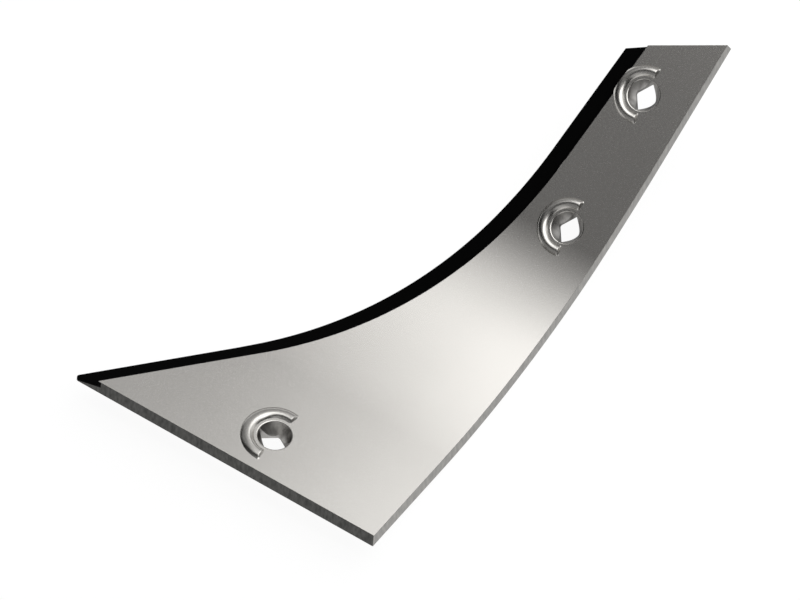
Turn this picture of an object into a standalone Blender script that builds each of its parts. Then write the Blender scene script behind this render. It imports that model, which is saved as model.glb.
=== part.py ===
"""Plough share: one bent steel plate with a bevelled cutting edge and three beaded bolt holes.

The plate is laid out flat, as its blank is. X runs along the lower edge, Y up the plate and Z
out of the worked face. Beads, bevel and bolt seats are made in the flat, the plate is rolled
to its bend, and at last it is laid on its back, face up, as it comes to rest on a floor.
Lengths are in metres, angles in radians.
"""

import math

import bmesh
import bpy
from mathutils import Matrix, Vector

# Plate blank, measured from the heel corner of the lower edge
PLATE_THICKNESS = 0.012
LOWER_EDGE_LENGTH = 0.2273
PLATE_HEIGHT = 0.4052
TOP_EDGE_LENGTH = 0.0680
TOP_EDGE_SLOPE = math.radians(28.9)
NOSE_RADIUS = 0.0018

# Heel edge: two straight runs that lean outward, joined by a long arc
HEEL_LOWER_LEAN = math.radians(2.83)
HEEL_UPPER_LEAN = math.radians(0.5)
HEEL_BREAK_HEIGHT = 0.2713
HEEL_ARC_RADIUS = 2.5

# Cutting edge: a straight run from the point, a hollow arc and a straight run to the top
POINT_ANGLE = math.radians(47.07)
UPPER_CUT_ANGLE = math.radians(84.52)
CUT_ARC_RADIUS = 0.350

# Bevel along the cutting edge: a step down from the face, a slope and an upright land
BEVEL_WIDTH = 0.0134
SHOULDER_DEPTH = 0.0044
LAND_HEIGHT = 0.0029

# Bend: a flat foot, one roll about an axis along the lower edge, a flat strip
FOOT_HEIGHT = 0.0782
BEND_RADIUS = 0.350
BEND_ANGLE = math.radians(27.5)

# Bolt holes: one in the foot, two up the strip, of which the top one is midway across the strip
FOOT_HOLE_INSET = 0.0941
FOOT_HOLE_HEIGHT = 0.0294
TOP_HOLE_DROP = 0.0541
STRIP_HOLE_PITCH = 0.0976
MIDDLE_HOLE_INSET = 0.0277

# Bolt seat: a countersink over a lozenge hole that keeps the bolt neck from turning
FOOT_SEAT_RADIUS = 0.0116
STRIP_SEAT_RADIUS = 0.011
SEAT_HALF_ANGLE = math.radians(26)
LOZENGE_HALF_LENGTH = 0.0114
LOZENGE_HALF_WIDTH = 0.0076
SHARP_CORNER_RADIUS = 0.0006
BLUNT_CORNER_RADIUS = 0.0020
LOZENGE_ALONG_FOOT = math.radians(3)
LOZENGE_UP_STRIP = math.radians(91.5)

# Raised bead that guards the bolt head on the side of the cutting edge
FOOT_BEAD_RADIUS = 0.0172
STRIP_BEAD_RADIUS = 0.016
BEAD_INNER_WIDTH = 0.0024
FOOT_BEAD_OUTER_WIDTH = 0.0052
STRIP_BEAD_OUTER_WIDTH = 0.0035
BEAD_HEIGHT = 0.003
BEAD_ROOT_DEPTH = 0.002
BEAD_FOOT_DIP = 0.0001
BEAD_END_DRAFT = 0.0007
FOOT_BEAD_START_ANGLE = math.radians(76)
STRIP_BEAD_START_ANGLE = math.radians(86)
FOOT_BEAD_END_ANGLE = math.radians(275)
MIDDLE_BEAD_END_ANGLE = math.radians(284)
TOP_BEAD_END_ANGLE = math.radians(285)

# How far a cutter runs past the metal
OVERRUN = 0.001

# Facets
HEEL_ARC_STEPS = 6
CUT_ARC_STEPS = 24
NOSE_STEPS = 5
BEND_STEPS = 24
SEAT_STEPS = 48
LOZENGE_CORNER_STEPS = 4
BEAD_STEPS = 30
BEAD_SECTION_STEPS = 10
SMOOTH_LIMIT = math.radians(30)
PLANE_TOLERANCE = 0.000001

HALF = 0.5
SLOTS = ("steel", "edge")


def remove_everything():
    """Start from an empty scene."""
    for old in list(bpy.data.objects):
        bpy.data.objects.remove(old, do_unlink=True)


def make_material(name, colour, roughness, metallic):
    """Return a plain Principled material."""
    material = bpy.data.materials.new(name)
    material.use_nodes = True
    shader = material.node_tree.nodes["Principled BSDF"]
    shader.inputs["Base Color"].default_value = colour
    shader.inputs["Roughness"].default_value = roughness
    shader.inputs["Metallic"].default_value = metallic
    material.diffuse_color = colour
    return material


def ground_steel():
    """Pale bare steel of the worked face, the back and the square edges."""
    return make_material("ground_steel", (0.56, 0.55, 0.53, 1), 0.28, 1)


def blackened_edge():
    """Near-black finish of the bevel."""
    return make_material("blackened_edge", (0.006, 0.006, 0.006, 1), 0.5, 0)


def direction(angle):
    """Return the unit plan vector at an angle from the lower edge."""
    return Vector((math.cos(angle), math.sin(angle)))


def crossing(point_a, along_a, point_b, along_b):
    """Return where two plan lines cross."""
    reach = (point_b - point_a).cross(along_b) / along_a.cross(along_b)
    return point_a + along_a * reach


def rounded_corner(before, corner, after, radius, steps):
    """Return the arc that rounds one corner of an outline, from one tangent point to the other."""
    to_before = (before - corner).normalized()
    to_after = (after - corner).normalized()
    half_angle = HALF * to_before.angle(to_after)
    reach = radius / math.tan(half_angle)
    centre = corner + (to_before + to_after).normalized() * (radius / math.sin(half_angle))
    first = corner + to_before * reach - centre
    last = corner + to_after * reach - centre
    sweep = math.atan2(first.cross(last), first.dot(last))
    turn = math.atan2(first.y, first.x)
    return [centre + radius * direction(turn + sweep * step / steps) for step in range(steps + 1)]


def heel_edge():
    """Return the heel edge from the lower corner to the top corner."""
    lower = Vector((0, 0))
    middle = Vector((HEEL_BREAK_HEIGHT * math.tan(HEEL_LOWER_LEAN), HEEL_BREAK_HEIGHT))
    rise = PLATE_HEIGHT - HEEL_BREAK_HEIGHT
    upper = middle + Vector((rise * math.tan(HEEL_UPPER_LEAN), rise))
    return [lower] + rounded_corner(lower, middle, upper, HEEL_ARC_RADIUS, HEEL_ARC_STEPS) + [upper]


def sharp_point():
    """Return where the cutting edge would meet the lower edge without the nose rounding."""
    return Vector((-LOWER_EDGE_LENGTH, 0))


def cutting_edge():
    """Return the cutting edge from the sharp point to the top edge."""
    point = sharp_point()
    upper = heel_edge()[-1] - TOP_EDGE_LENGTH * direction(TOP_EDGE_SLOPE)
    middle = crossing(point, direction(POINT_ANGLE), upper, direction(UPPER_CUT_ANGLE))
    return [point] + rounded_corner(point, middle, upper, CUT_ARC_RADIUS, CUT_ARC_STEPS) + [upper]


def inset_at(edge, height):
    """Return how far along the lower edge's direction an upgoing edge lies at one height."""
    for below, above in zip(edge, edge[1:]):
        if below.y <= height <= above.y:
            return below.x + (above.x - below.x) * (height - below.y) / (above.y - below.y)
    return edge[-1].x


def bolt_holes():
    """Return each bolt hole's name, centre, lozenge turn, seat radius and bead sizes.

    A bead's sizes are its radius, its outer width and the angles where it starts and ends.
    """
    top_height = PLATE_HEIGHT - TOP_HOLE_DROP
    middle_height = top_height - STRIP_HOLE_PITCH
    heel = heel_edge()
    strip_middle = HALF * (inset_at(heel, top_height) + inset_at(cutting_edge(), top_height))
    foot = Vector((-FOOT_HOLE_INSET, FOOT_HOLE_HEIGHT))
    middle = Vector((inset_at(heel, middle_height) - MIDDLE_HOLE_INSET, middle_height))
    top = Vector((strip_middle, top_height))
    foot_bead = (FOOT_BEAD_RADIUS, FOOT_BEAD_OUTER_WIDTH, FOOT_BEAD_START_ANGLE, FOOT_BEAD_END_ANGLE)
    strip_bead = (STRIP_BEAD_RADIUS, STRIP_BEAD_OUTER_WIDTH, STRIP_BEAD_START_ANGLE)
    return (("foot", foot, LOZENGE_ALONG_FOOT, FOOT_SEAT_RADIUS, foot_bead),
            ("middle", middle, LOZENGE_UP_STRIP, STRIP_SEAT_RADIUS, (*strip_bead, MIDDLE_BEAD_END_ANGLE)),
            ("top", top, LOZENGE_UP_STRIP, STRIP_SEAT_RADIUS, (*strip_bead, TOP_BEAD_END_ANGLE)))


def prism(outline, bottom, top, dark_sides=()):
    """Return a bmesh of a plan outline, counterclockwise, raised between two heights."""
    solid = bmesh.new()
    low = [solid.verts.new((point.x, point.y, bottom)) for point in outline]
    high = [solid.verts.new((point.x, point.y, top)) for point in outline]
    solid.faces.new(list(reversed(low)))
    solid.faces.new(high)
    for index in range(len(outline)):
        after = (index + 1) % len(outline)
        side = solid.faces.new((low[index], low[after], high[after], high[index]))
        side.material_index = SLOTS.index("edge" if index in dark_sides else "steel")
    return solid


def loft(sections):
    """Return a bmesh that skins closed sections of equal length and caps both ends."""
    solid = bmesh.new()
    rings = [[solid.verts.new(place) for place in section] for section in sections]
    for ring, following in zip(rings, rings[1:]):
        for index in range(len(ring)):
            after = (index + 1) % len(ring)
            solid.faces.new((ring[index], ring[after], following[after], following[index]))
    solid.faces.new(list(reversed(rings[0])))
    solid.faces.new(rings[-1])
    bmesh.ops.recalc_face_normals(solid, faces=solid.faces)
    return solid


def add_object(name, solid, materials):
    """Turn a bmesh into a named object."""
    mesh = bpy.data.meshes.new(name)
    solid.to_mesh(mesh)
    solid.free()
    for material in materials:
        mesh.materials.append(material)
    built = bpy.data.objects.new(name, mesh)
    bpy.context.scene.collection.objects.link(built)
    return built


def add_tool(name, solid, material):
    """Turn a bmesh into a guide object that shapes the plate and is no part of it."""
    tool = add_object(name, solid, [material])
    tool.hide_render = True
    tool.display_type = "WIRE"
    return tool


def plate_blank(materials):
    """Return the flat plate with its full outline and square edges."""
    heel = heel_edge()
    cut = cutting_edge()
    cut.reverse()
    nose = rounded_corner(cut[-2], sharp_point(), heel[0], NOSE_RADIUS, NOSE_STEPS)
    outline = heel + cut[:-1] + nose
    dark_sides = range(len(heel), len(outline) - 1)
    return add_object("share_plate", prism(outline, 0, PLATE_THICKNESS, dark_sides), materials)


def bevel_tool(material):
    """Return the tool that grinds the bevel along the whole cutting edge."""
    edge = cutting_edge()
    run_out = BEVEL_WIDTH + OVERRUN
    edge[0] -= run_out * direction(POINT_ANGLE)
    edge[-1] += run_out * direction(UPPER_CUT_ANGLE)
    step_height = PLATE_THICKNESS - SHOULDER_DEPTH
    fall = (step_height - LAND_HEIGHT) / BEVEL_WIDTH
    clear_height = PLATE_THICKNESS + BEAD_HEIGHT + OVERRUN
    profile = ((BEVEL_WIDTH, clear_height),
               (BEVEL_WIDTH, step_height),
               (-OVERRUN, LAND_HEIGHT - fall * OVERRUN),
               (-OVERRUN, clear_height))
    bends = len(edge) - 3
    sections = []
    for index, point in enumerate(edge):
        turned = min(max(index - 1, 0), bends) / bends
        inward = direction(POINT_ANGLE + turned * (UPPER_CUT_ANGLE - POINT_ANGLE) - HALF * math.pi)
        sections.append([(*(point + inward * offset), height) for offset, height in profile])
    return add_tool("bevel_tool", loft(sections), material)


def bead_section(centre, radius, outer_width, angle, share):
    """Return the bead's cross-section at one angle round the hole, raised to a share of its height."""
    outward = direction(angle)
    section = [(-BEAD_INNER_WIDTH, -BEAD_ROOT_DEPTH)]
    for step in range(BEAD_SECTION_STEPS + 1):
        across = 2 * step / BEAD_SECTION_STEPS - 1
        swell = HALF + HALF * math.cos(math.pi * across)
        offset = across * (BEAD_INNER_WIDTH if across < 0 else outer_width)
        section.append((offset, share * (BEAD_HEIGHT + BEAD_FOOT_DIP) * swell - BEAD_FOOT_DIP))
    section.append((outer_width, -BEAD_ROOT_DEPTH))
    return [(*(centre + outward * (radius + offset)), PLATE_THICKNESS + height)
            for offset, height in section]


def bead(name, centre, radius, outer_width, start_angle, end_angle, material):
    """Return the raised bead that runs part of the way round a bolt hole."""
    draft = BEAD_END_DRAFT / radius
    first = start_angle + draft
    last = end_angle - draft
    sections = [bead_section(centre, radius, outer_width, start_angle, 0)]
    for step in range(BEAD_STEPS + 1):
        angle = first + (last - first) * step / BEAD_STEPS
        sections.append(bead_section(centre, radius, outer_width, angle, 1))
    sections.append(bead_section(centre, radius, outer_width, end_angle, 0))
    return add_tool(name, loft(sections), material)


def countersink_tool(name, centre, rim_radius, material):
    """Return the cone that sinks the bolt head."""
    spread = math.tan(SEAT_HALF_ANGLE)
    depth = rim_radius / spread + OVERRUN
    top = PLATE_THICKNESS + OVERRUN
    solid = bmesh.new()
    bmesh.ops.create_cone(solid, cap_ends=True, segments=SEAT_STEPS, radius1=0,
                          radius2=depth * spread, depth=depth,
                          matrix=Matrix.Translation((centre.x, centre.y, top - HALF * depth)))
    bmesh.ops.recalc_face_normals(solid, faces=solid.faces)
    return add_tool(name, solid, material)


def lozenge_tool(name, centre, turn, material):
    """Return the punch that makes the lozenge hole through the plate."""
    long_way = direction(turn) * LOZENGE_HALF_LENGTH
    short_way = direction(turn + HALF * math.pi) * LOZENGE_HALF_WIDTH
    corners = [centre + long_way, centre + short_way, centre - long_way, centre - short_way]
    radii = (SHARP_CORNER_RADIUS, BLUNT_CORNER_RADIUS)
    outline = []
    for index, corner in enumerate(corners):
        after = corners[(index + 1) % len(corners)]
        radius = radii[index % len(radii)]
        outline += rounded_corner(corners[index - 1], corner, after, radius, LOZENGE_CORNER_STEPS)
    return add_tool(name, prism(outline, -OVERRUN, PLATE_THICKNESS + OVERRUN), material)


def apply_tool(plate, tool, operation):
    """Add or cut one tool's shape."""
    change = plate.modifiers.new(tool.name, "BOOLEAN")
    change.operation = operation
    change.solver = "EXACT"
    change.material_mode = "TRANSFER"
    change.object = tool


def settle(plate):
    """Make the tools' work final and remove the tools."""
    bpy.context.view_layer.update()
    evaluated = plate.evaluated_get(bpy.context.evaluated_depsgraph_get())
    finished = bpy.data.meshes.new_from_object(evaluated)
    tools = [change.object for change in plate.modifiers]
    plate.modifiers.clear()
    plate.data = finished
    for tool in tools:
        bpy.data.objects.remove(tool, do_unlink=True)


def rolled(place):
    """Return where a place of the flat plate lies once the bend is rolled."""
    beyond = place.y - FOOT_HEIGHT
    turn = min(max(beyond / BEND_RADIUS, 0), BEND_ANGLE)
    straight = beyond - BEND_RADIUS * turn
    depth = PLATE_THICKNESS - place.z
    forward = BEND_RADIUS * math.sin(turn) + straight * math.cos(turn) + depth * math.sin(turn)
    upward = BEND_RADIUS * (1 - math.cos(turn)) + straight * math.sin(turn) - depth * math.cos(turn)
    return Vector((place.x, FOOT_HEIGHT + forward, PLATE_THICKNESS + upward))


def roll_bend(plate):
    """Cut the plate's faces into strips across the bend and roll it."""
    solid = bmesh.new()
    solid.from_mesh(plate.data)
    for step in range(BEND_STEPS + 1):
        height = FOOT_HEIGHT + BEND_RADIUS * BEND_ANGLE * step / BEND_STEPS
        everything = list(solid.verts) + list(solid.edges) + list(solid.faces)
        bmesh.ops.bisect_plane(solid, geom=everything, dist=PLANE_TOLERANCE,
                               plane_co=(0, height, 0), plane_no=(0, 1, 0))
    bmesh.ops.triangulate(solid, faces=solid.faces)
    for corner in solid.verts:
        corner.co = rolled(corner.co)
    solid.to_mesh(plate.data)
    solid.free()


def centre_of_mass(mesh):
    """Return the centre of mass of a closed triangle mesh."""
    total = 0
    moment = Vector((0, 0, 0))
    for face in mesh.polygons:
        corners = [Vector((0, 0, 0))] + [mesh.vertices[index].co for index in face.vertices]
        volume = corners[1].dot(corners[2].cross(corners[3]))
        total += volume
        moment += volume * sum(corners, Vector((0, 0, 0))) / len(corners)
    return moment / total


def lay_at_rest(plate):
    """Rock the plate back on its bend until it balances, with the origin below its middle."""
    balance = centre_of_mass(plate.data)
    bend_centre_height = PLATE_THICKNESS + BEND_RADIUS
    lean = math.atan2(balance.y - FOOT_HEIGHT, bend_centre_height - balance.z)
    lean = min(max(lean, 0), BEND_ANGLE)
    plate.rotation_euler.x = -lean
    turned = Matrix.Rotation(-lean, 3, "X")
    places = [turned @ corner.co for corner in plate.data.vertices]
    low = Vector([min(place[axis] for place in places) for axis in range(3)])
    high = Vector([max(place[axis] for place in places) for axis in range(3)])
    plate.location = (-HALF * (low.x + high.x), -HALF * (low.y + high.y), -low.z)


def build_share():
    """Build the whole share."""
    steel = ground_steel()
    black = blackened_edge()
    plate = plate_blank([steel, black])
    holes = bolt_holes()
    for name, centre, turn, seat_radius, bead_sizes in holes:
        apply_tool(plate, bead(name + "_bead", centre, *bead_sizes, steel), "UNION")
    for name, centre, turn, seat_radius, bead_sizes in holes:
        countersink = countersink_tool(name + "_countersink", centre, seat_radius, steel)
        apply_tool(plate, countersink, "DIFFERENCE")
        apply_tool(plate, lozenge_tool(name + "_lozenge", centre, turn, steel), "DIFFERENCE")
    apply_tool(plate, bevel_tool(black), "DIFFERENCE")
    settle(plate)
    roll_bend(plate)
    lay_at_rest(plate)
    plate.data.shade_smooth()
    plate.data.set_sharp_from_angle(angle=SMOOTH_LIMIT)


remove_everything()
build_share()
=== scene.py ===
"""Plough share, dressed: the fine plate, its finishes, the floor, the light and the camera."""

import math
from collections import namedtuple

import bmesh
import bpy
from mathutils import Matrix, Vector


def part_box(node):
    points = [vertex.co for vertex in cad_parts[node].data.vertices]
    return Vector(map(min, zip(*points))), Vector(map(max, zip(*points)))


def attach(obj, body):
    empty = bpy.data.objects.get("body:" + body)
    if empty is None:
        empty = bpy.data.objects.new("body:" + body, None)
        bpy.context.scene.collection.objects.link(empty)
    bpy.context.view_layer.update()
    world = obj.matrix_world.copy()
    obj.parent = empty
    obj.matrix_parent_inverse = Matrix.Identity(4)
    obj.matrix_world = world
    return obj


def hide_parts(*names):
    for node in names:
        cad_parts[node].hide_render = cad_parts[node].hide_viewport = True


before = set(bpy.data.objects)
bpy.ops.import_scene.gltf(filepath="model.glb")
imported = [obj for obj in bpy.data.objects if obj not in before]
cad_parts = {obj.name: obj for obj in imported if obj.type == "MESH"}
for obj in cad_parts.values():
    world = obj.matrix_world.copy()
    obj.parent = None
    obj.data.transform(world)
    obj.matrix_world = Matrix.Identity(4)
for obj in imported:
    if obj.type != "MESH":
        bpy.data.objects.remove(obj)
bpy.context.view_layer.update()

# Plate blank, in metres, measured from the heel corner of the lower edge
PLATE_THICKNESS = 0.012
LOWER_EDGE_LENGTH = 0.2273
PLATE_HEIGHT = 0.4052
TOP_EDGE_LENGTH = 0.0680
TOP_EDGE_SLOPE = math.radians(28.9)
NOSE_RADIUS = 0.0018

# Heel edge
HEEL_LOWER_LEAN = math.radians(2.83)
HEEL_UPPER_LEAN = math.radians(0.5)
HEEL_BREAK_HEIGHT = 0.2713
HEEL_ARC_RADIUS = 2.5

# Cutting edge
POINT_ANGLE = math.radians(47.07)
UPPER_CUT_ANGLE = math.radians(84.52)
CUT_ARC_RADIUS = 0.350

# Bevel along the cutting edge
BEVEL_WIDTH = 0.0134
SHOULDER_DEPTH = 0.0044
LAND_HEIGHT = 0.0029

# Black that has run down the lower wall beside the nose
RUN_START_INSET = 0.0012
RUN_END_INSET = 0.0208
RUN_END_HEIGHT = 0.0066

# Bend
FOOT_HEIGHT = 0.0782
BEND_RADIUS = 0.350
BEND_ANGLE = math.radians(27.5)
REST_LEAN = math.radians(10.4167)

# Bolt holes
FOOT_HOLE_INSET = 0.0941
FOOT_HOLE_HEIGHT = 0.0294
TOP_HOLE_DROP = 0.0541
STRIP_HOLE_PITCH = 0.0976
MIDDLE_HOLE_INSET = 0.0277

# Bolt seats
FOOT_SEAT_RADIUS = 0.0112
STRIP_SEAT_RADIUS = 0.0105
SEAT_RIM_ROUNDING = 0.001
SEAT_HALF_ANGLE = math.radians(26)
RIM_MOUTH_ANGLE = math.radians(5)
RIM_MOUTH_REACH = 0.0006
LOZENGE_HALF_LENGTH = 0.0114
LOZENGE_HALF_WIDTH = 0.0076
SHARP_CORNER_RADIUS = 0.0006
BLUNT_CORNER_RADIUS = 0.0020
LOZENGE_ALONG_FOOT = math.radians(3)
LOZENGE_UP_STRIP = math.radians(91.5)

# Raised beads
FOOT_BEAD_RADIUS = 0.0170
STRIP_BEAD_RADIUS = 0.0160
BEAD_INNER_WIDTH = 0.0036
FOOT_BEAD_OUTER_WIDTH = 0.0050
STRIP_BEAD_OUTER_WIDTH = 0.0036
BEAD_FULLNESS = 2.3
BEAD_HEIGHT = 0.0021
BEAD_ROOT_DEPTH = 0.002
BEAD_FOOT_DIP = 0.00002
BEAD_END_LENGTH = 0.0015
BEAD_END_FILLET = 1.3
FOOT_BEAD_START_ANGLE = math.radians(76)
STRIP_BEAD_START_ANGLE = math.radians(86)
FOOT_BEAD_END_ANGLE = math.radians(275)
MIDDLE_BEAD_END_ANGLE = math.radians(284)
TOP_BEAD_END_ANGLE = math.radians(285)
BEAD_OVERHANG = 0.001

# Fine surface
EDGE_ROUNDING = 0.00035
EDGE_ROUNDING_SEGMENTS = 3
EDGE_ROUNDING_LIMIT = math.radians(35)
OVERRUN = 0.001
WELD_REACH = 0.00002
HEEL_ARC_STEPS = 24
CUT_ARC_STEPS = 96
NOSE_STEPS = 10
BEND_STEPS = 96
SEAT_STEPS = 144
RIM_STEPS = 8
LOZENGE_CORNER_STEPS = 8
BEAD_STEPS = 150
BEAD_END_STEPS = 10
BEAD_SECTION_STEPS = 26
SMOOTH_LIMIT = math.radians(26)
LEVEL_LIMIT = math.cos(math.radians(1.5))
PLANE_TOLERANCE = 0.000001

# Middle of a span, and a quarter turn's share of pi
HALF = 0.5

# Slots of the plate's materials
FACE_SLOT = 0
BLACK_SLOT = 1
LOWER_WALL_SLOT = 2
HEEL_WALL_SLOT = 3

# Slot of the seat's material on the countersink's tool, after the face's
SEAT_SLOT = 1

# A bolt hole with all that belongs to it, and the half ring raised beside it
BoltHole = namedtuple("BoltHole", ("name", "centre", "lozenge_turn", "seat_radius", "bead"))
Bead = namedtuple("Bead", ("radius", "outer_width", "start_angle", "end_angle"))


def direction(angle):
    """Return the unit plan vector at an angle from the lower edge."""
    return Vector((math.cos(angle), math.sin(angle)))


def crossing(point_a, along_a, point_b, along_b):
    """Return where two plan lines cross."""
    reach = (point_b - point_a).cross(along_b) / along_a.cross(along_b)
    return point_a + along_a * reach


def rounded_corner(before, corner, after, radius, steps):
    """Return the arc that rounds one corner of an outline, from one tangent point to the other."""
    to_before = (before - corner).normalized()
    to_after = (after - corner).normalized()
    half_angle = HALF * to_before.angle(to_after)
    reach = radius / math.tan(half_angle)
    centre = corner + (to_before + to_after).normalized() * (radius / math.sin(half_angle))
    first = corner + to_before * reach - centre
    last = corner + to_after * reach - centre
    sweep = math.atan2(first.cross(last), first.dot(last))
    turn = math.atan2(first.y, first.x)
    return [centre + radius * direction(turn + sweep * step / steps) for step in range(steps + 1)]


def heel_edge():
    """Return the heel edge from the lower corner to the top corner."""
    lower = Vector((0, 0))
    middle = Vector((HEEL_BREAK_HEIGHT * math.tan(HEEL_LOWER_LEAN), HEEL_BREAK_HEIGHT))
    rise = PLATE_HEIGHT - HEEL_BREAK_HEIGHT
    upper = middle + Vector((rise * math.tan(HEEL_UPPER_LEAN), rise))
    return [lower] + rounded_corner(lower, middle, upper, HEEL_ARC_RADIUS, HEEL_ARC_STEPS) + [upper]


def sharp_point():
    """Return where the cutting edge would meet the lower edge without the nose rounding."""
    return Vector((-LOWER_EDGE_LENGTH, 0))


def cutting_edge():
    """Return the cutting edge from the sharp point to the top edge."""
    point = sharp_point()
    upper = heel_edge()[-1] - TOP_EDGE_LENGTH * direction(TOP_EDGE_SLOPE)
    middle = crossing(point, direction(POINT_ANGLE), upper, direction(UPPER_CUT_ANGLE))
    return [point] + rounded_corner(point, middle, upper, CUT_ARC_RADIUS, CUT_ARC_STEPS) + [upper]


def inset_at(edge, height):
    """Return how far along the lower edge's direction an upgoing edge lies at one height."""
    for below, above in zip(edge, edge[1:]):
        if below.y <= height <= above.y:
            return below.x + (above.x - below.x) * (height - below.y) / (above.y - below.y)
    return edge[-1].x


def bolt_holes():
    """Return the three bolt holes, from the foot to the top of the strip."""
    top_height = PLATE_HEIGHT - TOP_HOLE_DROP
    middle_height = top_height - STRIP_HOLE_PITCH
    heel = heel_edge()
    strip_middle = HALF * (inset_at(heel, top_height) + inset_at(cutting_edge(), top_height))
    foot = Vector((-FOOT_HOLE_INSET, FOOT_HOLE_HEIGHT))
    middle = Vector((inset_at(heel, middle_height) - MIDDLE_HOLE_INSET, middle_height))
    top = Vector((strip_middle, top_height))
    foot_bead = Bead(FOOT_BEAD_RADIUS, FOOT_BEAD_OUTER_WIDTH, FOOT_BEAD_START_ANGLE, FOOT_BEAD_END_ANGLE)
    middle_bead = Bead(STRIP_BEAD_RADIUS, STRIP_BEAD_OUTER_WIDTH,
                       STRIP_BEAD_START_ANGLE, MIDDLE_BEAD_END_ANGLE)
    top_bead = middle_bead._replace(end_angle=TOP_BEAD_END_ANGLE)
    return (BoltHole("foot", foot, LOZENGE_ALONG_FOOT, FOOT_SEAT_RADIUS, foot_bead),
            BoltHole("middle", middle, LOZENGE_UP_STRIP, STRIP_SEAT_RADIUS, middle_bead),
            BoltHole("top", top, LOZENGE_UP_STRIP, STRIP_SEAT_RADIUS, top_bead))


def prism(outline, bottom, top, side_slots=None):
    """Return a bmesh of a plan outline, counterclockwise, raised between two heights."""
    solid = bmesh.new()
    low = [solid.verts.new((point.x, point.y, bottom)) for point in outline]
    high = [solid.verts.new((point.x, point.y, top)) for point in outline]
    solid.faces.new(list(reversed(low)))
    solid.faces.new(high)
    for index in range(len(outline)):
        after = (index + 1) % len(outline)
        side = solid.faces.new((low[index], low[after], high[after], high[index]))
        side.material_index = side_slots[index] if side_slots else FACE_SLOT
    return solid


def loft(sections):
    """Return a bmesh that skins closed sections of equal length and caps both ends."""
    solid = bmesh.new()
    rings = [[solid.verts.new(place) for place in section] for section in sections]
    for ring, following in zip(rings, rings[1:]):
        for index in range(len(ring)):
            after = (index + 1) % len(ring)
            solid.faces.new((ring[index], ring[after], following[after], following[index]))
    solid.faces.new(list(reversed(rings[0])))
    solid.faces.new(rings[-1])
    bmesh.ops.recalc_face_normals(solid, faces=solid.faces)
    return solid


def add_object(name, solid, materials):
    """Turn a bmesh into a named object."""
    mesh = bpy.data.meshes.new(name)
    solid.to_mesh(mesh)
    solid.free()
    for material in materials:
        mesh.materials.append(material)
    built = bpy.data.objects.new(name, mesh)
    bpy.context.scene.collection.objects.link(built)
    return built


def plate_blank(materials):
    """Return the flat plate with its full outline and square edges."""
    heel = heel_edge()
    cut = cutting_edge()
    cut.reverse()
    nose = rounded_corner(cut[-2], sharp_point(), heel[0], NOSE_RADIUS, NOSE_STEPS)
    outline = heel + cut[:-1] + nose
    side_slots = [HEEL_WALL_SLOT] * len(heel)
    side_slots += [BLACK_SLOT] * (len(outline) - len(heel) - 1)
    side_slots.append(LOWER_WALL_SLOT)
    return add_object("polished_share", prism(outline, 0, PLATE_THICKNESS, side_slots), materials)


def bevel_tool(name, growth, material):
    """Return the tool that grinds the bevel along the whole cutting edge, its width grown or shrunk."""
    edge = cutting_edge()
    run_out = BEVEL_WIDTH + OVERRUN
    edge[0] -= run_out * direction(POINT_ANGLE)
    edge[-1] += run_out * direction(UPPER_CUT_ANGLE)
    step_height = PLATE_THICKNESS - SHOULDER_DEPTH
    fall = (step_height - LAND_HEIGHT) / BEVEL_WIDTH
    clear_height = PLATE_THICKNESS + BEAD_HEIGHT + OVERRUN
    profile = ((BEVEL_WIDTH + growth, clear_height),
               (BEVEL_WIDTH + growth, step_height),
               (-OVERRUN, LAND_HEIGHT - fall * OVERRUN),
               (-OVERRUN, clear_height))
    sections = []
    for index, point in enumerate(edge):
        turned = min(max(index - 1, 0), CUT_ARC_STEPS) / CUT_ARC_STEPS
        inward = direction(POINT_ANGLE + turned * (UPPER_CUT_ANGLE - POINT_ANGLE) - HALF * math.pi)
        sections.append([(*(point + inward * offset), height) for offset, height in profile])
    return add_object(name, loft(sections), [material])


def bead_section(hole, angle, share):
    """Return the bead's cross-section at one angle round its hole, raised to a share of its height."""
    radius = hole.bead.radius
    outer_width = hole.bead.outer_width
    outward = direction(angle)
    section = [(-BEAD_INNER_WIDTH, -BEAD_ROOT_DEPTH)]
    for step in range(BEAD_SECTION_STEPS + 1):
        across = 2 * step / BEAD_SECTION_STEPS - 1
        swell = 1 - abs(across) ** BEAD_FULLNESS
        offset = across * (BEAD_INNER_WIDTH if across < 0 else outer_width)
        section.append((offset, share * (BEAD_HEIGHT + BEAD_FOOT_DIP) * swell - BEAD_FOOT_DIP))
    section.append((outer_width, -BEAD_ROOT_DEPTH))
    return [(*(hole.centre + outward * (radius + offset)), PLATE_THICKNESS + height)
            for offset, height in section]


def raised_bead(hole, material):
    """Return the bead that runs part of the way round a bolt hole, with short steep ends."""
    end_turn = BEAD_END_LENGTH / hole.bead.radius
    rise = [step / BEAD_END_STEPS for step in range(BEAD_END_STEPS)]
    first = hole.bead.start_angle + end_turn
    last = hole.bead.end_angle - end_turn
    stations = [(hole.bead.start_angle + end_turn * part, part) for part in rise]
    stations += [(first + (last - first) * step / BEAD_STEPS, 1) for step in range(BEAD_STEPS + 1)]
    stations += [(hole.bead.end_angle - end_turn * part, part) for part in reversed(rise)]
    sections = [bead_section(hole, angle, math.sin(HALF * math.pi * part) ** BEAD_END_FILLET)
                for angle, part in stations]
    return add_object(hole.name + "_bead", loft(sections), [material])


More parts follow.
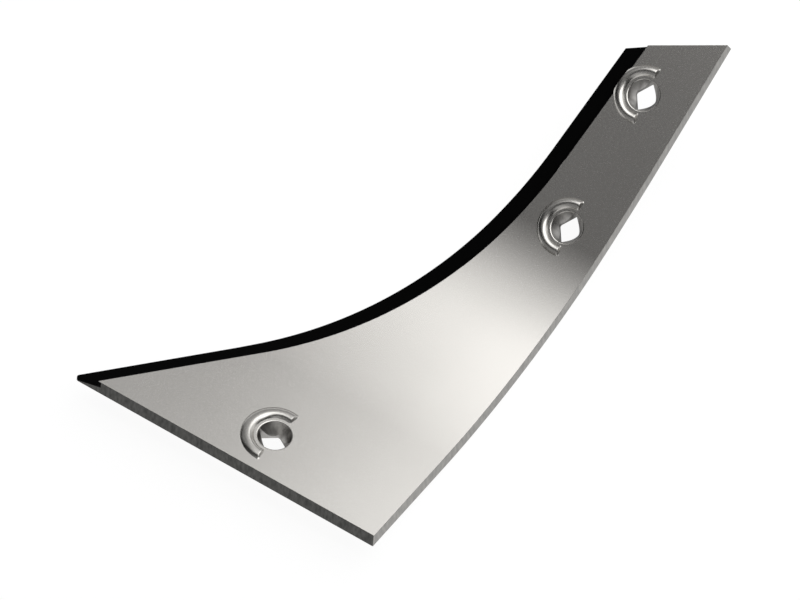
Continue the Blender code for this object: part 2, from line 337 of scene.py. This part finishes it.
def seat_profile(rim_radius):
    """Return the countersink's radii and heights, from its mouth over a rounded rim to its apex."""
    tangent = SEAT_RIM_ROUNDING * math.tan(HALF * (HALF * math.pi - SEAT_HALF_ANGLE))
    arc_radius = rim_radius + tangent
    arc_height = PLATE_THICKNESS - SEAT_RIM_ROUNDING
    mouth_radius = arc_radius + RIM_MOUTH_REACH
    profile = [(mouth_radius, PLATE_THICKNESS + OVERRUN),
               (mouth_radius, PLATE_THICKNESS + RIM_MOUTH_REACH * math.tan(RIM_MOUTH_ANGLE))]
    last = HALF * math.pi - SEAT_HALF_ANGLE
    for step in range(RIM_STEPS + 1):
        lean = RIM_MOUTH_ANGLE + (last - RIM_MOUTH_ANGLE) * step / RIM_STEPS
        profile.append((arc_radius - SEAT_RIM_ROUNDING * math.sin(lean),
                        arc_height + SEAT_RIM_ROUNDING * math.cos(lean)))
    return profile + [(0, PLATE_THICKNESS - rim_radius / math.tan(SEAT_HALF_ANGLE))]


def countersink_tool(hole, face, seat):
    """Return the tool that turns a bolt hole's seat, with a rim polished like the face."""
    solid = bmesh.new()
    profile = seat_profile(hole.seat_radius)
    apex = solid.verts.new((*hole.centre, profile[-1][1]))
    turns = [2 * math.pi * step / SEAT_STEPS for step in range(SEAT_STEPS)]
    rings = [[solid.verts.new((*(hole.centre + radius * direction(turn)), height)) for turn in turns]
             for radius, height in profile[:-1]]
    for index in range(SEAT_STEPS):
        after = (index + 1) % SEAT_STEPS
        for ring, following in zip(rings, rings[1:]):
            solid.faces.new((ring[index], following[index], following[after], ring[after]))
        cone = solid.faces.new((rings[-1][index], apex, rings[-1][after]))
        cone.material_index = SEAT_SLOT
    solid.faces.new(rings[0])
    bmesh.ops.recalc_face_normals(solid, faces=solid.faces)
    return add_object(hole.name + "_countersink", solid, [face, seat])


def lozenge_tool(hole, material):
    """Return the punch that makes a lozenge hole through the plate."""
    long_way = direction(hole.lozenge_turn) * LOZENGE_HALF_LENGTH
    short_way = direction(hole.lozenge_turn + HALF * math.pi) * LOZENGE_HALF_WIDTH
    corners = [hole.centre + way for way in (long_way, short_way, -long_way, -short_way)]
    radii = (SHARP_CORNER_RADIUS, BLUNT_CORNER_RADIUS)
    outline = []
    for index, corner in enumerate(corners):
        after = corners[(index + 1) % len(corners)]
        radius = radii[index % len(radii)]
        outline += rounded_corner(corners[index - 1], corner, after, radius, LOZENGE_CORNER_STEPS)
    punch = prism(outline, -OVERRUN, PLATE_THICKNESS + OVERRUN)
    return add_object(hole.name + "_lozenge", punch, [material])


def apply_tool(shape, tool, operation):
    """Add one tool's shape, or cut it away."""
    change = shape.modifiers.new(tool.name, "BOOLEAN")
    change.operation = operation
    change.solver = "EXACT"
    change.material_mode = "TRANSFER"
    change.object = tool


def round_edges(shape):
    """Take the sharpness off the plate's long edges."""
    joining = shape.modifiers.new("joining", "WELD")
    joining.merge_threshold = WELD_REACH
    rounding = shape.modifiers.new("edge_rounding", "BEVEL")
    rounding.limit_method = "ANGLE"
    rounding.angle_limit = EDGE_ROUNDING_LIMIT
    rounding.width = EDGE_ROUNDING
    rounding.segments = EDGE_ROUNDING_SEGMENTS
    rounding.use_clamp_overlap = False


def settle(shape, tools):
    """Make the modifiers' work final and remove the tools."""
    bpy.context.view_layer.update()
    evaluated = shape.evaluated_get(bpy.context.evaluated_depsgraph_get())
    finished = bpy.data.meshes.new_from_object(evaluated)
    shape.modifiers.clear()
    shape.data = finished
    for tool in tools:
        bpy.data.objects.remove(tool, do_unlink=True)


def turn_at(height):
    """Return how far the bend has turned the plate at a height of the flat blank."""
    return min(max((height - FOOT_HEIGHT) / BEND_RADIUS, 0), BEND_ANGLE)


def rolled(place):
    """Return where a place of the flat plate lies once the bend is rolled."""
    turn = turn_at(place.y)
    straight = place.y - FOOT_HEIGHT - BEND_RADIUS * turn
    depth = PLATE_THICKNESS - place.z
    forward = BEND_RADIUS * math.sin(turn) + straight * math.cos(turn) + depth * math.sin(turn)
    upward = BEND_RADIUS * (1 - math.cos(turn)) + straight * math.sin(turn) - depth * math.cos(turn)
    return Vector((place.x, FOOT_HEIGHT + forward, PLATE_THICKNESS + upward))


def blacken_nose(shape):
    """Let the black run down the lower wall beside the nose, as far as a slanting line."""
    start = sharp_point().to_3d() + Vector((RUN_START_INSET, 0, 0))
    end = sharp_point().to_3d() + Vector((RUN_END_INSET, 0, RUN_END_HEIGHT))
    along = end - start
    upward = Vector((-along.z, 0, along.x)).normalized()
    solid = bmesh.new()
    solid.from_mesh(shape.data)
    for place, side in ((start, upward), (end, Vector((1, 0, 0)))):
        walls = [face for face in solid.faces if face.material_index == LOWER_WALL_SLOT]
        edges = {edge for face in walls for edge in face.edges}
        corners = {corner for face in walls for corner in face.verts}
        bmesh.ops.bisect_plane(solid, geom=walls + list(edges) + list(corners), dist=PLANE_TOLERANCE,
                               plane_co=place, plane_no=side)
    for face in solid.faces:
        middle = face.calc_center_median()
        if face.material_index == LOWER_WALL_SLOT and middle.x < end.x and (middle - start).dot(upward) > 0:
            face.material_index = BLACK_SLOT
    solid.to_mesh(shape.data)
    solid.free()


def cut_into_strips(shape):
    """Cut the flat plate's faces across the bend, so that they can follow it."""
    solid = bmesh.new()
    solid.from_mesh(shape.data)
    for step in range(BEND_STEPS + 1):
        height = FOOT_HEIGHT + BEND_RADIUS * BEND_ANGLE * step / BEND_STEPS
        everything = list(solid.verts) + list(solid.edges) + list(solid.faces)
        bmesh.ops.bisect_plane(solid, geom=everything, dist=PLANE_TOLERANCE,
                               plane_co=(0, height, 0), plane_no=(0, 1, 0))
    bmesh.ops.triangulate(solid, faces=solid.faces)
    solid.to_mesh(shape.data)
    solid.free()


def flat_normals(shape):
    """Return the smooth corner normals of the flat plate, true on its flat faces."""
    shape.data.shade_smooth()
    shape.data.set_sharp_from_angle(angle=SMOOTH_LIMIT)
    weighting = shape.modifiers.new("weighting", "WEIGHTED_NORMAL")
    weighting.keep_sharp = True
    bpy.context.view_layer.update()
    evaluated = shape.evaluated_get(bpy.context.evaluated_depsgraph_get())
    normals = [corner.vector.copy() for corner in evaluated.to_mesh().corner_normals]
    evaluated.to_mesh_clear()
    shape.modifiers.clear()
    for face in shape.data.polygons:
        if abs(face.normal.z) > LEVEL_LIMIT:
            for loop_index in face.loop_indices:
                normals[loop_index] = face.normal.copy()
    return normals


def roll_bend(shape):
    """Roll the plate, and turn its normals with it so that the bend shines evenly."""
    normals = flat_normals(shape)
    mesh = shape.data
    turned = [Matrix.Rotation(turn_at(mesh.vertices[loop.vertex_index].co.y), 3, "X") @ normal
              for loop, normal in zip(mesh.loops, normals)]
    for corner in mesh.vertices:
        corner.co = rolled(corner.co)
    mesh.normals_split_custom_set(turned)


def lay_on_frame(shape):
    """Lay the plate where the frame's plate lies."""
    turned = Matrix.Rotation(-REST_LEAN, 4, "X")
    shape.data.transform(turned)
    places = [corner.co for corner in shape.data.vertices]
    low = Vector([min(place[axis] for place in places) for axis in range(3)])
    high = Vector([max(place[axis] for place in places) for axis in range(3)])
    cad_low, cad_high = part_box("share_plate")
    middle = HALF * (cad_low + cad_high - low - high)
    shape.data.transform(Matrix.Translation((middle.x, middle.y, cad_low.z - low.z)))


def build_share(face, black, lower_wall, heel_wall, seat):
    """Build the fine share in place of the frame's plain plate."""
    shape = plate_blank([face, black, lower_wall, heel_wall])
    grinder = bevel_tool("bevel_tool", 0, black)
    apply_tool(shape, grinder, "DIFFERENCE")
    round_edges(shape)
    holes = bolt_holes()
    trim = bevel_tool("bead_trim", -BEAD_OVERHANG, face)
    tools = [grinder, trim]
    for hole in holes:
        bead = raised_bead(hole, face)
        apply_tool(bead, trim, "DIFFERENCE")
        apply_tool(shape, bead, "UNION")
        tools.append(bead)
    for hole in holes:
        for tool in (lozenge_tool(hole, seat), countersink_tool(hole, face, seat)):
            apply_tool(shape, tool, "DIFFERENCE")
            tools.append(tool)
    settle(shape, tools)
    blacken_nose(shape)
    cut_into_strips(shape)
    roll_bend(shape)
    lay_on_frame(shape)
    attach(shape, "root")
    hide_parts("share_plate")


def new_material(name):
    """Return an empty procedural material with its node tree, shader and object coordinates."""
    material = bpy.data.materials.new(name)
    material.use_nodes = True
    tree = material.node_tree
    place = tree.nodes.new("ShaderNodeTexCoord")
    return material, tree, tree.nodes["Principled BSDF"], place.outputs["Object"]


def stretched(tree, place, stretch):
    """Return coordinates scaled along each axis."""
    mapping = tree.nodes.new("ShaderNodeMapping")
    mapping.inputs["Scale"].default_value = stretch
    tree.links.new(place, mapping.inputs["Vector"])
    return mapping.outputs["Vector"]


def noise(tree, vector, fineness):
    """Return a noise pattern of a fineness in waves per metre."""
    pattern = tree.nodes.new("ShaderNodeTexNoise")
    pattern.inputs["Scale"].default_value = fineness
    pattern.inputs["Detail"].default_value = PATTERN_DETAIL
    tree.links.new(vector, pattern.inputs["Vector"])
    return pattern.outputs["Fac"]


def spread(tree, pattern, between):
    """Return a pattern's middle range spread between two values."""
    low, high = between
    spreading = tree.nodes.new("ShaderNodeMapRange")
    spreading.inputs["From Min"].default_value = PATTERN_LOW
    spreading.inputs["From Max"].default_value = PATTERN_HIGH
    spreading.inputs["To Min"].default_value = low
    spreading.inputs["To Max"].default_value = high
    tree.links.new(pattern, spreading.inputs["Value"])
    return spreading.outputs["Result"]


def tinted(tree, pattern, dark, light):
    """Return a pattern as a colour between two colours."""
    ramp = tree.nodes.new("ShaderNodeValToRGB")
    ramp.color_ramp.elements[0].position = PATTERN_LOW
    ramp.color_ramp.elements[1].position = PATTERN_HIGH
    ramp.color_ramp.elements[0].color = dark
    ramp.color_ramp.elements[1].color = light
    tree.links.new(pattern, ramp.inputs["Fac"])
    return ramp.outputs["Color"]


def roughen(tree, shader, pattern, height):
    """Let a pattern roughen the surface by a height in metres."""
    bump = tree.nodes.new("ShaderNodeBump")
    bump.inputs["Distance"].default_value = height
    tree.links.new(pattern, bump.inputs["Height"])
    tree.links.new(bump.outputs["Normal"], shader.inputs["Normal"])


def combined(tree, operation, first, second):
    """Return a node's value combined with another node's value or with a number."""
    step = tree.nodes.new("ShaderNodeMath")
    step.operation = operation
    tree.links.new(first, step.inputs[0])
    if isinstance(second, bpy.types.NodeSocket):
        tree.links.new(second, step.inputs[1])
    else:
        step.inputs[1].default_value = second
    return step.outputs[0]


# Noise patterns: the share of the range that the values mostly keep to, and the layers of detail
PATTERN_LOW = 0.3
PATTERN_HIGH = 0.7
PATTERN_DETAIL = 4

# Polished face
FACE_DARK = (0.545, 0.530, 0.505, 1)
FACE_LIGHT = (0.575, 0.560, 0.535, 1)
FACE_ROUGHNESS = (0.24, 0.28)
FACE_CLOUD_FINENESS = 14
FACE_GRAIN_FINENESS = 900
FACE_GRAIN_STRETCH = (1, 12, 1)
FACE_GRAIN_HEIGHT = 0.0000012

# Blackened bevel
BLACK_DARK = (0.0008, 0.0008, 0.0008, 1)
BLACK_LIGHT = (0.0022, 0.0022, 0.0022, 1)
BLACK_ROUGHNESS = (0.75, 0.95)
BLACK_SPECULAR = 0.03
BLACK_FINENESS = 700
BLACK_HEIGHT = 0.00001

# Square walls: the lower edge painted dark as shade, the heel and top edges ground
LOWER_WALL_SHADE_DARK = (0.026, 0.026, 0.024, 1)
LOWER_WALL_SHADE_LIGHT = (0.096, 0.095, 0.090, 1)
HEEL_WALL_DARK = (0.22, 0.215, 0.205, 1)
HEEL_WALL_LIGHT = (0.41, 0.40, 0.38, 1)
WALL_ROUGHNESS = (0.38, 0.52)
WALL_FINENESS = 500
WALL_SIDE_TINT = (1, 1, 1, 1)

# Turned and punched bolt seats, mottled, and dulled with painted shade when seen along their walls
SEAT_DARK = (0.20, 0.195, 0.19, 1)
SEAT_LIGHT = (0.62, 0.61, 0.59, 1)
SEAT_ROUGHNESS = (0.26, 0.34)
SEAT_FINENESS = 130
SEAT_SHADE_TINT = (0.22, 0.22, 0.22, 1)

# Marks on the walls and seats
WALL_STRETCH = (1, 1, 0.2)
WALL_HEIGHT = 0.000006


def polished_steel():
    """Satin steel of the face, the beads, the seats' rims and the back: fine grain and faint clouds."""
    material, tree, shader, place = new_material("polished_steel")
    shader.inputs["Metallic"].default_value = 1
    clouds = noise(tree, place, FACE_CLOUD_FINENESS)
    grain = noise(tree, stretched(tree, place, FACE_GRAIN_STRETCH), FACE_GRAIN_FINENESS)
    tree.links.new(tinted(tree, clouds, FACE_DARK, FACE_LIGHT), shader.inputs["Base Color"])
    tree.links.new(spread(tree, grain, FACE_ROUGHNESS), shader.inputs["Roughness"])
    roughen(tree, shader, grain, FACE_GRAIN_HEIGHT)
    return material


def black_finish():
    """Blackened surface of the bevel, its shoulder and the nose, with fine grit."""
    material, tree, shader, place = new_material("black_finish")
    shader.inputs["Specular IOR Level"].default_value = BLACK_SPECULAR
    grit = noise(tree, place, BLACK_FINENESS)
    tree.links.new(tinted(tree, grit, BLACK_DARK, BLACK_LIGHT), shader.inputs["Base Color"])
    tree.links.new(spread(tree, grit, BLACK_ROUGHNESS), shader.inputs["Roughness"])
    roughen(tree, shader, grit, BLACK_HEIGHT)
    return material


def wall_steel(name, dark, light, roughness, fineness, side_tint):
    """Steel of a square wall or a bolt seat, with marks from cutting; the lower wall's dark colours and the
    seats' dull edge tint are painted shade.
    """
    material, tree, shader, place = new_material(name)
    shader.inputs["Metallic"].default_value = 1
    marks = noise(tree, stretched(tree, place, WALL_STRETCH), fineness)
    tree.links.new(tinted(tree, marks, dark, light), shader.inputs["Base Color"])
    tree.links.new(spread(tree, marks, roughness), shader.inputs["Roughness"])
    shader.inputs["Specular Tint"].default_value = side_tint
    roughen(tree, shader, marks, WALL_HEIGHT)
    return material


# Camera, as in the photograph: far away with parallel rays
CAMERA_AZIMUTH = math.radians(36.916)
CAMERA_ELEVATION = math.radians(63.207)
CAMERA_ROLL = math.radians(-4.554)
CAMERA_TARGET = (0.02992, -0.05062, 0.03737)
CAMERA_DISTANCE = 3
VIEW_WIDTH = 0.50847


def place_camera():
    """Put the camera at the photograph's angle."""
    data = bpy.data.cameras.new("camera")
    data.type = "ORTHO"
    data.ortho_scale = VIEW_WIDTH
    camera = bpy.data.objects.new("camera", data)
    bpy.context.scene.collection.objects.link(camera)
    aim = (Matrix.Rotation(CAMERA_AZIMUTH, 4, "Z")
           @ Matrix.Rotation(HALF * math.pi - CAMERA_ELEVATION, 4, "X")
           @ Matrix.Rotation(CAMERA_ROLL, 4, "Z"))
    backward = aim.to_3x3() @ Vector((0, 0, 1))
    camera.matrix_world = Matrix.Translation(Vector(CAMERA_TARGET) + CAMERA_DISTANCE * backward) @ aim
    bpy.context.scene.camera = camera


# Floor
FLOOR_HALF_WIDTH = 12
FLOOR_COLOUR = (0.86, 0.86, 0.86, 1)
WHITE = (1, 1, 1, 1)
FLOOR_WHITE_SHARE = 0.85
FLOOR_WHITE_STRENGTH = 1.08


def make_floor():
    """Lay a plain floor that shows white and keeps the share's soft shadow."""
    solid = bmesh.new()
    corners = ((-1, -1), (1, -1), (1, 1), (-1, 1))
    solid.faces.new([solid.verts.new((x * FLOOR_HALF_WIDTH, y * FLOOR_HALF_WIDTH, 0))
                     for x, y in corners])
    material = bpy.data.materials.new("floor_white")
    material.use_nodes = True
    tree = material.node_tree
    tree.nodes.remove(tree.nodes["Principled BSDF"])
    diffuse = tree.nodes.new("ShaderNodeBsdfDiffuse")
    diffuse.inputs["Color"].default_value = FLOOR_COLOUR
    glow = tree.nodes.new("ShaderNodeEmission")
    glow.inputs["Color"].default_value = WHITE
    glow.inputs["Strength"].default_value = FLOOR_WHITE_STRENGTH
    seen = tree.nodes.new("ShaderNodeLightPath")
    by_eye_or_gloss = combined(tree, "MAXIMUM", seen.outputs["Is Camera Ray"],
                               seen.outputs["Is Glossy Ray"])
    straight = combined(tree, "MAXIMUM", by_eye_or_gloss, seen.outputs["Is Transmission Ray"])
    mix = tree.nodes.new("ShaderNodeMixShader")
    tree.links.new(combined(tree, "MULTIPLY", straight, FLOOR_WHITE_SHARE), mix.inputs["Fac"])
    tree.links.new(diffuse.outputs[0], mix.inputs[1])
    tree.links.new(glow.outputs[0], mix.inputs[2])
    tree.links.new(mix.outputs[0], tree.nodes["Material Output"].inputs["Surface"])
    add_object("floor", solid, [material])


# Soft light from behind, by how far the direction points behind the share, from -1 in front to 1
GLOW_STOPS = (
    (-1.00, 0.00),
    (-0.30, 0.01),
    (-0.20, 0.025),
    (-0.12, 0.24),
    (-0.05, 0.72),
    (0.02, 1.34),
    (0.10, 1.44),
    (0.18, 1.29),
    (0.26, 1.08),
    (0.36, 0.78),
    (0.48, 0.37),
    (0.60, 0.14),
    (0.66, 0.03),
    (0.72, 0.00),
    (1.00, 0.00),
)

# Share of that light, by how far the direction points to the heel's side
GLOW_WIDTH_STOPS = (
    (-1.00, 0.25),
    (-0.48, 0.25),
    (-0.34, 1.00),
    (1.00, 1.00),
)

# Pale walls far behind and far in front of the share
WALL_LIGHT_STOPS = (
    (-1.00, 0.30),
    (-0.60, 0.26),
    (-0.40, 0.00),
    (0.30, 0.00),
    (0.46, 0.31),
    (0.60, 0.48),
    (0.72, 0.44),
    (1.00, 0.38),
)

# What both are multiplied by, by how far the direction points to the heel's side
SIDE_STOPS = (
    (-1.00, 0.08),
    (-0.94, 0.25),
    (-0.86, 0.90),
    (0.10, 1.00),
    (0.38, 1.90),
    (0.66, 2.20),
    (0.80, 0.80),
    (0.88, 0.10),
    (1.00, 0.05),
)


def sky_profile(tree, coordinate, stops):
    """Return a brightness that follows one coordinate of the direction."""
    level = tree.nodes.new("ShaderNodeMapRange")
    level.inputs["From Min"].default_value = -1
    ramp = tree.nodes.new("ShaderNodeValToRGB")
    ramp.color_ramp.interpolation = "EASE"
    elements = ramp.color_ramp.elements
    brightest = max(brightness for reach, brightness in stops)
    for reach, brightness in stops[1:-1]:
        elements.new(HALF + HALF * reach)
    for element, (reach, brightness) in zip(elements, stops):
        grey = brightness / brightest
        element.position = HALF + HALF * reach
        element.color = (grey, grey, grey, 1)
    tree.links.new(coordinate, level.inputs["Value"])
    tree.links.new(level.outputs["Result"], ramp.inputs["Fac"])
    return combined(tree, "MULTIPLY", ramp.outputs["Color"], brightest)


def make_sky():
    """Light the share with a soft studio sky."""
    world = bpy.data.worlds.new("studio")
    bpy.context.scene.world = world
    world.use_nodes = True
    tree = world.node_tree
    place = tree.nodes.new("ShaderNodeTexCoord")
    parts = tree.nodes.new("ShaderNodeSeparateXYZ")
    tree.links.new(place.outputs["Generated"], parts.inputs["Vector"])
    glow = combined(tree, "MULTIPLY", sky_profile(tree, parts.outputs["Y"], GLOW_STOPS),
                    sky_profile(tree, parts.outputs["X"], GLOW_WIDTH_STOPS))
    sky = combined(tree, "ADD", glow, sky_profile(tree, parts.outputs["Y"], WALL_LIGHT_STOPS))
    side = sky_profile(tree, parts.outputs["X"], SIDE_STOPS)
    background = tree.nodes["Background"]
    background.inputs["Color"].default_value = WHITE
    tree.links.new(combined(tree, "MULTIPLY", sky, side), background.inputs["Strength"])


# Soft box behind the share, that brightens the heel end of the foot
BOX_PLACE = (0.16, 0.472, 0.90)
BOX_AIM = (0.16, -0.10, 0.02)
BOX_WIDTH = 0.80
BOX_HEIGHT = 0.785
BOX_POWER = 2.60


def make_soft_box():
    """Hang one soft box behind the share."""
    data = bpy.data.lights.new("soft_box", "AREA")
    data.shape = "RECTANGLE"
    data.size = BOX_WIDTH
    data.size_y = BOX_HEIGHT
    data.energy = BOX_POWER
    lamp = bpy.data.objects.new("soft_box", data)
    bpy.context.scene.collection.objects.link(lamp)
    lamp.location = BOX_PLACE
    lamp.rotation_euler = (Vector(BOX_PLACE) - Vector(BOX_AIM)).to_track_quat("Z", "Y").to_euler()


bpy.context.scene.view_settings.view_transform = "Standard"
build_share(polished_steel(), black_finish(),
            # The lower wall's colours are painted shade, far darker than its steel
            wall_steel("painted_shade_wall", LOWER_WALL_SHADE_DARK, LOWER_WALL_SHADE_LIGHT,
                       WALL_ROUGHNESS, WALL_FINENESS, WALL_SIDE_TINT),
            wall_steel("ground_edge", HEEL_WALL_DARK, HEEL_WALL_LIGHT,
                       WALL_ROUGHNESS, WALL_FINENESS, WALL_SIDE_TINT),
            # The seats' edge tint is painted shade that dulls them along their walls
            wall_steel("bolt_seat", SEAT_DARK, SEAT_LIGHT,
                       SEAT_ROUGHNESS, SEAT_FINENESS, SEAT_SHADE_TINT))
make_floor()
make_sky()
make_soft_box()
place_camera()
